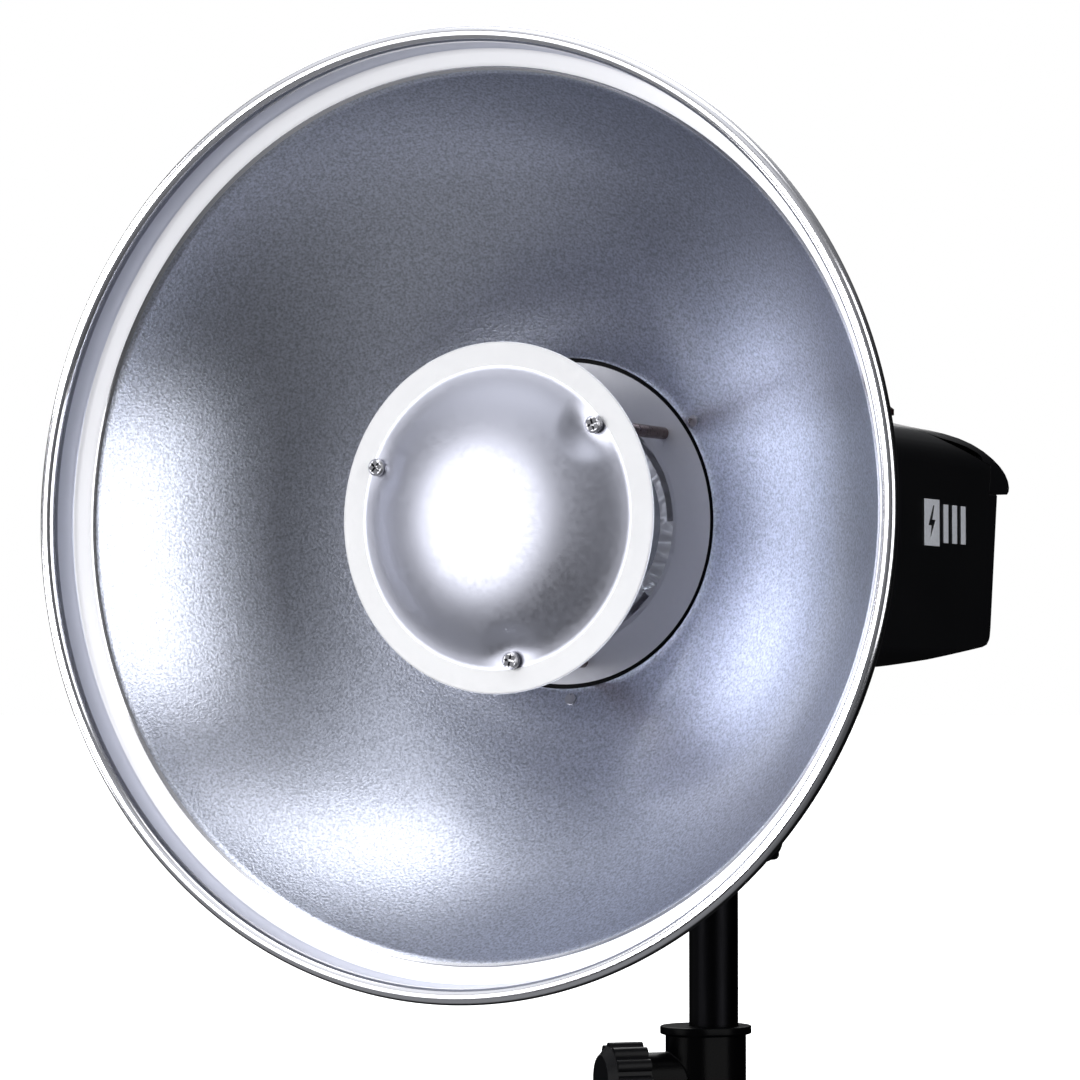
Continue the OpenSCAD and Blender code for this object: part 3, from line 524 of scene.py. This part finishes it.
def make_deflector(mats):
    """Spun disc: a flat rim painted white as a highlight, a soft step, and a shallow dome that
    each screw pulls flat.
    """
    heights = dome_heights()

    def dome(i, ca, sa):
        """Radius and depth of the dome's front face at its i-th step."""
        r = DOME_R * i / DOME_STEPS
        return r, DEFL_FLAT - heights[i] * (1 - screw_pull(r * ca, r * sa))

    step = [(0.0666, 0.0), (0.0670, 0.0)]
    rim = [(0.0679, 0.0), (0.0700, 0.0), (0.0735, 0.0), (DEFL_R - 0.0010, 0.0),
           (DEFL_R - 0.0006, 0.0)]
    edge = [(DEFL_R - 0.0003, 0.0001), (DEFL_R - 0.0001, 0.0003), (DEFL_R, 0.0007),
            (DEFL_R - 0.0001, 0.0011), (DEFL_R - 0.0006, 0.0014), (0.0676, 0.0013)]
    flat = [(r, DEFL_FLAT + d) for r, d in step + rim + edge]
    bm = bmesh.new()
    loops = []
    for ca, sa in circle(TURN_STEPS):
        front = [dome(i, ca, sa) for i in range(1, DOME_STEPS + 1)]
        line = front + flat + [(r, d + DISC_T) for r, d in reversed(front)]
        loops.append([bm.verts.new((r * ca, RIM_Y + d, AXIS_Z + r * sa)) for r, d in line])
    top = RIM_Y + dome(0, 1, 0)[1]
    tip = bm.verts.new((0, top, AXIS_Z))
    back = bm.verts.new((0, top + DISC_T, AXIS_Z))
    first_white = DOME_STEPS + len(step) - 1
    white = range(first_white, first_white + len(rim) + len(edge) - 1)
    for here, there in zip(loops, loops[1:] + loops[:1]):
        bm.faces.new((tip, here[0], there[0]))
        bm.faces.new((back, there[-1], here[-1]))
        for j in range(len(here) - 1):
            face = bm.faces.new((here[j], here[j + 1], there[j + 1], there[j]))
            face.material_index = 1 if j in white else 0
    bmesh.ops.recalc_face_normals(bm, faces=bm.faces)
    piece = new_piece("deflector_disc", bm, [mats["deflector"], mats["rim"]], 60)
    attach(piece, "dish")
    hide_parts("deflector")
    return piece


# ---------- CAD nodes, which keep their shape ----------

def soften(mesh):
    """Smooth shading in place of the flat normals the mesh came with."""
    if "custom_normal" in mesh.attributes:
        mesh.attributes.remove(mesh.attributes["custom_normal"])
    mesh.shade_smooth()


def dress(mats):
    """Gives every CAD node its material, smooth shading and softened edges."""
    for name, node in NODES.items():
        mesh = node.data
        mesh.materials.clear()
        mesh.materials.append(mats[FINISH[name]])
        soften(mesh)
        weld = node.modifiers.new("seams", "WELD")
        weld.merge_threshold = SEAM_WELD
        bevel = node.modifiers.new("edges", "BEVEL")
        bevel.width = WIDER_EDGES.get(name, EDGE_WIDTH)
        bevel.segments = 2
        bevel.limit_method = "ANGLE"
        bevel.angle_limit = EDGE_ANGLE
        normals = node.modifiers.new("shading", "WEIGHTED_NORMAL")
        normals.keep_sharp = True


def recolour(name, mat, inside):
    """Gives a second material to the node's faces whose centre (x, depth, height) is inside."""
    mesh = NODES[name].data
    mesh.materials.append(mat)
    world = NODES[name].matrix_world
    for face in mesh.polygons:
        centre = world @ face.center
        if inside(centre.x, centre.y - RIM_Y, centre.z - AXIS_Z):
            face.material_index = 1


def darken_gaps(mats):
    """Painted shade: black in the shadow gap round the mount ring, and dark steel in the cross
    recesses of the deflector's screws.
    """
    def in_gap_shade(x, d, h):
        return GAP_SHADE_R[0] < math.hypot(x, h) < GAP_SHADE_R[1] and GAP_SHADE_D[0] < d < GAP_SHADE_D[1]

    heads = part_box("deflector_screws")[0].y - RIM_Y

    def in_shaded_recess(x, d, h):
        away = min(math.hypot(x - screw_x, h - screw_h) for screw_x, screw_h in SCREWS)
        return d < heads + RECESS_D and away < RECESS_R

    recolour("mount_ring", mats["gap"], in_gap_shade)
    recolour("deflector_screws", mats["recess"], in_shaded_recess)


# ---------- Camera, lights, room and floor ----------

def make_camera():
    data = bpy.data.cameras.new("camera")
    camera = bpy.data.objects.new("camera", data)
    bpy.context.scene.collection.objects.link(camera)
    data.sensor_width = CAMERA_SENSOR
    data.lens = CAMERA_LENS
    data.clip_end = CAMERA_REACH
    camera.location = RIM_CENTRE + CAMERA_OFFSET
    camera.rotation_mode = "QUATERNION"
    camera.rotation_quaternion = CAMERA_FORWARD.to_track_quat("-Z", "Y")
    bpy.context.scene.camera = camera


def soft_box(box, only=None):
    """An area light that faces the dish's rim. It is flagged off all but the pieces in only."""
    away = direction(box.azimuth, box.elevation)
    data = bpy.data.lights.new(box.name, "AREA")
    data.shape = "RECTANGLE"
    data.size = box.width
    data.size_y = box.height
    data.energy = box.power
    lamp = bpy.data.objects.new(box.name, data)
    bpy.context.scene.collection.objects.link(lamp)
    lamp.location = RIM_CENTRE + away * box.distance
    lamp.rotation_mode = "QUATERNION"
    lamp.rotation_quaternion = away.to_track_quat("Z", "Y")
    if only:
        lit = bpy.data.collections.new(box.name + "_lit")
        for piece in only:
            lit.objects.link(piece)
        lamp.light_linking.receiver_collection = lit
    return lamp


def make_lights(bowl, disc):
    """Boxes right, in front, above and behind, and small ones that light only the bowl."""
    beside_case = [node for name, node in NODES.items() if FINISH[name] != "case"]
    soft_box(KEY_BOX)
    soft_box(FRONT_BOX, only=[bowl, disc] + beside_case).data.shape = "DISK"
    soft_box(TOP_BOX)
    soft_box(REAR_BOX)
    for box in BOWL_BOXES:
        soft_box(box, only=[bowl])


def make_world():
    """White for the camera. The object sees a grey room with a bright ceiling to its left.

    The room is dimmer to the right, almost black behind, and has a dark spot low in front.
    """
    world = bpy.data.worlds.new("studio")
    bpy.context.scene.world = world
    world.use_nodes = True
    s = Shader(world.node_tree)
    axes = s.add("ShaderNodeSeparateXYZ")
    s.link(s.coord, "Generated", axes, "Vector")

    def along(fade):
        return s.remap(axes, fade.axis, fade.first, fade.last, fade.start, fade.end, "SMOOTHSTEP")

    def join(operation, first, second):
        node = s.add("ShaderNodeMath", operation=operation)
        s.link(first, 0, node, 0)
        s.link(second, 0, node, 1)
        return node

    def times(first, second):
        return join("MULTIPLY", first, second)

    toward = s.add("ShaderNodeVectorMath", operation="DOT_PRODUCT")
    s.link(s.coord, "Generated", toward, 0)
    toward.inputs[1].default_value = direction(SPOT_AZIMUTH, SPOT_ELEVATION)
    spot_edge = math.cos(math.radians(SPOT_RADIUS))
    spot = s.remap(toward, "Value", 1.0, SPOT_LEVEL, spot_edge, 1.0, "SMOOTHSTEP")

    ceiling = times(along(CEILING), along(CEILING_SIDE))
    total = times(join("ADD", along(ROOM_LEVEL), ceiling), along(RIGHT_SIDE))
    total = times(total, join("MAXIMUM", along(BEHIND), along(BEHIND_ABOVE)))
    total = times(total, spot)

    room = s.add("ShaderNodeBackground", Color=ROOM_COLOUR)
    s.link(total, 0, room, "Strength")
    white = s.add("ShaderNodeBackground", Color=WHITE)
    mix = s.add("ShaderNodeMixShader")
    s.link(s.add("ShaderNodeLightPath"), "Is Camera Ray", mix, "Fac")
    s.link(room, 0, mix, 1)
    s.link(white, 0, mix, 2)
    s.link(mix, 0, s.add("ShaderNodeOutputWorld"), "Surface")


def make_floor():
    """A wide pale floor, seen by the camera but not by the object."""
    bm = bmesh.new()
    level = CAD_BOX[0][2] - FLOOR_DROP
    bm.faces.new([bm.verts.new((FLOOR_R * c, FLOOR_R * s, level)) for c, s in circle(FLOOR_SIDES)])
    floor = new_piece("floor", bm, [floor_paper()])
    floor.visible_glossy = False
    floor.visible_diffuse = False


def main():
    bpy.context.scene.view_settings.view_transform = "Standard"
    make_camera()
    make_world()
    make_floor()
    mats = make_materials()
    dress(mats)
    darken_gaps(mats)
    make_lights(make_bowl(mats), make_deflector(mats))


main()
